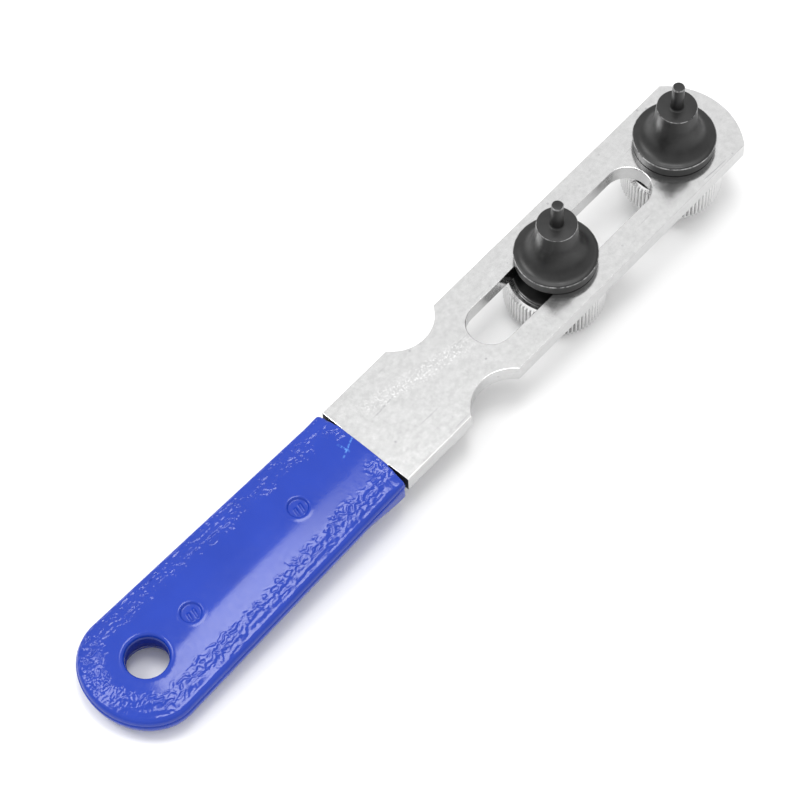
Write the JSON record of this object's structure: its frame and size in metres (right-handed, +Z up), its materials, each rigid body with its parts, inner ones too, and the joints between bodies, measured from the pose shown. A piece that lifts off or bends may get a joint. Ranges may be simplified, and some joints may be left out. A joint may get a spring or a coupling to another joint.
{
  "type": "case back opener",
  "caption": "Flat slotted steel bar with a moulded grip at one end and upright pin bits clamped to it by knurled nuts, for turning a screwed back off a watch case.",
  "frame": {"origin": "on the level surface the tool rests on, under the middle of its bounding box", "axes": "+X along the tool from the grip's heel towards the tip, tipped up by 3.930 degrees as the tool rests on its heel and the sliding nut's rim; +Z up, the way the pins point"},
  "size_m": [0.1444, 0.0208, 0.0287],
  "materials": {
    "plated_steel": "bright plated flat stock, fine mottling and light scratches",
    "blue_plastic": "glossy moulded plastic, smooth centre with a grained border",
    "black_oxide_steel": "turned steel blackened by oxide, satin, edges worn bright",
    "black_washer_steel": "blackened steel washer, satin",
    "chrome_steel": "bright plated steel with straight knurling"
  },
  "bodies": {
    "bar_and_grip": {"bar": "plated_steel", "grip": "blue_plastic", "fixed_bit": "black_oxide_steel"},
    "sliding_bit": {"sliding_bit": "black_oxide_steel"},
    "sliding_washer": {"sliding_washer": "black_washer_steel"},
    "sliding_nut": {"sliding_nut": "chrome_steel"},
    "fixed_washer": {"fixed_washer": "black_washer_steel"},
    "fixed_nut": {"fixed_nut": "chrome_steel"}
  },
  "joints": [
    {"name": "slot_slide", "type": "slide", "parent": "bar_and_grip", "child": "sliding_bit", "axis": [0.9976, 0, 0.0685], "range_m": [-0.015, 0.0123]},
    {"name": "sliding_washer_drop", "type": "slide", "parent": "sliding_bit", "child": "sliding_washer", "axis": [0.0685, 0, -0.9976], "range_m": [0, 0.002]},
    {"name": "sliding_nut_turn", "type": "hinge", "parent": "sliding_washer", "child": "sliding_nut", "pos_m": [0.03149, 0, 0.01112], "axis": [0.0685, 0, -0.9976], "range_deg": [0, 720]},
    {"name": "fixed_washer_drop", "type": "slide", "parent": "bar_and_grip", "child": "fixed_washer", "axis": [0.0685, 0, -0.9976], "range_m": [0, 0.002]},
    {"name": "fixed_nut_turn", "type": "hinge", "parent": "fixed_washer", "child": "fixed_nut", "pos_m": [0.06108, 0, 0.01315], "axis": [0.0685, 0, -0.9976], "range_deg": [0, 720]}
  ],
  "couplings": [
    {"joint": "sliding_nut_turn", "follows": "sliding_washer_drop", "rad_per_m": 6283.2},
    {"joint": "fixed_nut_turn", "follows": "fixed_washer_drop", "rad_per_m": 6283.2}
  ]
}
